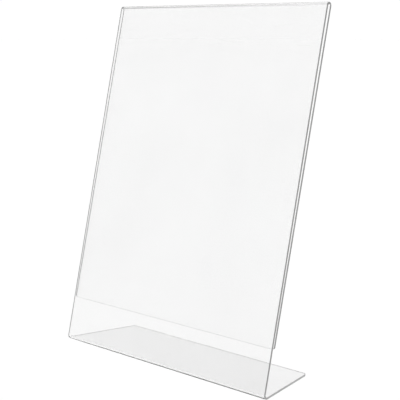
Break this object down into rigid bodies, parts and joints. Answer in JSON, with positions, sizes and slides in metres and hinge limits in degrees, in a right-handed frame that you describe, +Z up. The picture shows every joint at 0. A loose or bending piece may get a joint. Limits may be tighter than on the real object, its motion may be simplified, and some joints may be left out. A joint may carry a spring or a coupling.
{
  "type": "slanted page and photo stand",
  "caption": "Free-standing slanted display stand of clear bent sheet: flat foot to the rear, leaning front panel, and a rear flap folded over the top that holds an upright page or photo.",
  "frame": {"origin": "centre of the flat underside of the base plate", "axes": "+Z up, +Y to the rear, so the page faces -Y and upwards, +X to the viewer's right from the front"},
  "size_m": [0.218, 0.0688, 0.2769],
  "materials": {
    "clear_acrylic": "clear colourless cast acrylic, polished faces, laser-cut edges"
  },
  "bodies": {
    "stand": {"base_plate": "clear_acrylic", "base_bend": "clear_acrylic", "front_panel": "clear_acrylic", "fold_front": "clear_acrylic", "fold_rear": "clear_acrylic"},
    "flap": {"rear_flap": "clear_acrylic"}
  },
  "joints": [
    {"name": "flap_flex", "type": "hinge", "parent": "stand", "child": "flap", "pos_m": [0, 0.03256, 0.27435], "axis": [1, 0, 0], "range_deg": [0, 5], "stiffness_Nm_per_rad": 2.7, "springref_deg": -0.8}
  ]
}
